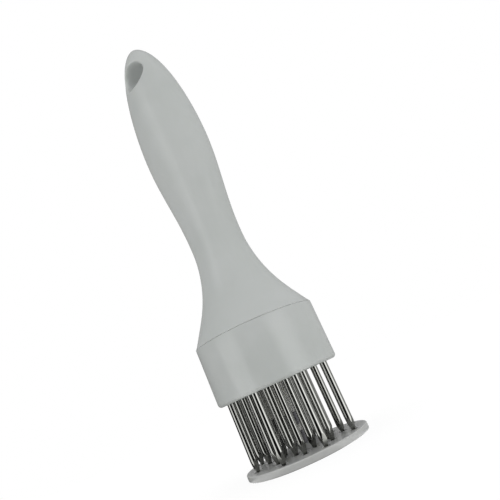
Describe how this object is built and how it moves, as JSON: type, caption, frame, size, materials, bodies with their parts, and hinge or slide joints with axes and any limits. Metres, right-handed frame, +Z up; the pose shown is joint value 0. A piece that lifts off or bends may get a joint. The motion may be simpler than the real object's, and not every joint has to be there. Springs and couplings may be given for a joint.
{
  "type": "meat tenderizer",
  "caption": "Hand-held needle meat tenderizer with a flared handle, a round head of ground steel needles and a sprung foot plate that slides up the needles.",
  "frame": {"origin": "centre of the foot plate's underside, with the foot down, the face that the tool stands on", "axes": "+Z up the handle along the needles, +X along the handle's breadth, +Y through its thickness along the hanging hole"},
  "size_m": [0.0504, 0.0504, 0.1944],
  "materials": {
    "abs_plastic": "moulded, semi-gloss off-white",
    "nylon_plastic": "moulded, matte",
    "needle_steel": "polished stainless bar with ground flats",
    "fastener_steel": "plain stainless",
    "spring_steel": "drawn spring wire"
  },
  "bodies": {
    "handle_and_head": {"handle": "abs_plastic", "head_skirt": "abs_plastic", "needle_block": "abs_plastic", "clamp_plate": "nylon_plastic", "block_screws": "fastener_steel", "guide_bush": "nylon_plastic", "spring_cup": "fastener_steel", "return_spring": "spring_steel", "needle_01": "needle_steel", "needle_02": "needle_steel", "needle_03": "needle_steel", "needle_04": "needle_steel", "needle_05": "needle_steel", "needle_06": "needle_steel", "needle_07": "needle_steel", "needle_08": "needle_steel", "needle_09": "needle_steel", "needle_10": "needle_steel", "needle_11": "needle_steel", "needle_12": "needle_steel", "needle_13": "needle_steel", "needle_14": "needle_steel", "needle_15": "needle_steel", "needle_16": "needle_steel", "needle_17": "needle_steel", "needle_18": "needle_steel", "needle_19": "needle_steel", "needle_20": "needle_steel", "needle_21": "needle_steel", "needle_22": "needle_steel", "needle_23": "needle_steel", "needle_24": "needle_steel"},
    "foot": {"foot_plate": "abs_plastic", "stem_screw": "fastener_steel", "plate_nut": "fastener_steel", "jam_nut": "fastener_steel", "push_rod": "abs_plastic", "stop_ring": "spring_steel"}
  },
  "joints": [
    {"name": "foot_slide", "type": "slide", "parent": "handle_and_head", "child": "foot", "axis": [0, 0, 1], "range_m": [0, 0.025], "stiffness_N_per_m": 530, "springref_m": -0.01, "deforming": ["return_spring"]}
  ]
}
